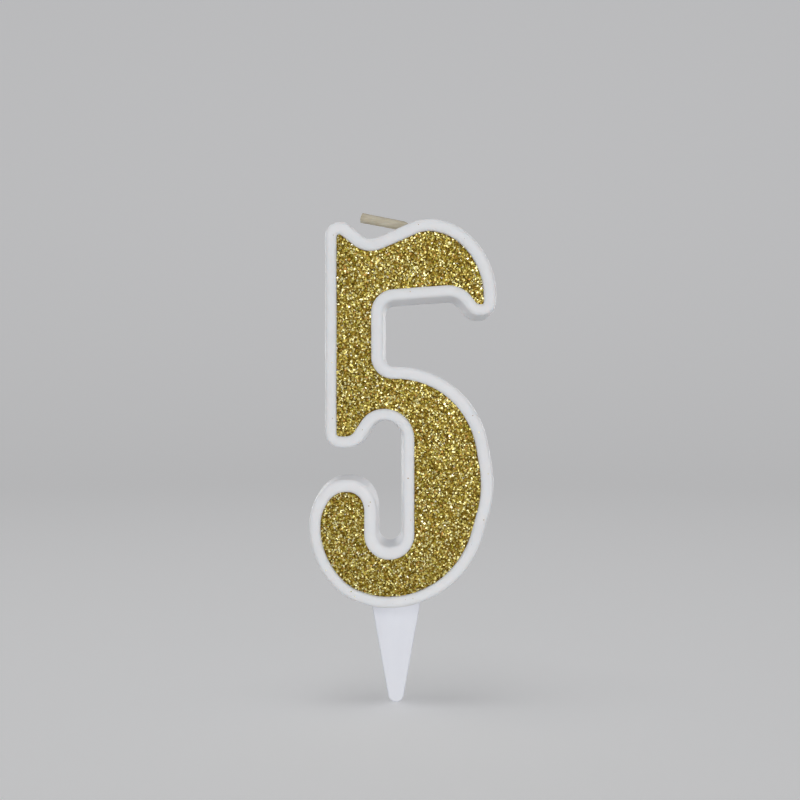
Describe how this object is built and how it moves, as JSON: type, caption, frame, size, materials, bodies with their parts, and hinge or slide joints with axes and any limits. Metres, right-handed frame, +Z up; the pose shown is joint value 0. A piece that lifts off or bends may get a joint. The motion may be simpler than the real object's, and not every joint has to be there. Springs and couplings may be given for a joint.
{
  "type": "number birthday candle",
  "caption": "Cast wax numeral candle with a raised white rim, a recessed gold glitter face, a wick folded over at the top and a flat cake pick below.",
  "frame": {"origin": "on the pick's axis where the pick leaves the numeral, at mid-thickness: the top surface of the cake", "axes": "+Z up the numeral, -Y out of the glitter face, +X to the right as the numeral is read"},
  "size_m": [0.0366, 0.012, 0.0962],
  "materials": {
    "white_wax": "smooth white paraffin, soft sheen",
    "clear_binder": "clear binder over the wax, seen dark gold between flakes",
    "gold_glitter": "gold metallised flakes",
    "white_plastic": "satin moulded plastic",
    "waxed_cotton": "braided cotton dipped in wax"
  },
  "bodies": {
    "numeral": {"wax_numeral": "white_wax", "glue_film": "clear_binder", "glitter_coat": "gold_glitter", "cake_pick": "white_plastic", "wick_root": "waxed_cotton"},
    "wick_end": {"wick_tip": "waxed_cotton"}
  },
  "joints": [
    {"name": "wick_bend", "type": "hinge", "parent": "numeral", "child": "wick_end", "pos_m": [0.0022, 0, 0.07425], "axis": [0, 1, 0], "range_deg": [0, 79]}
  ]
}
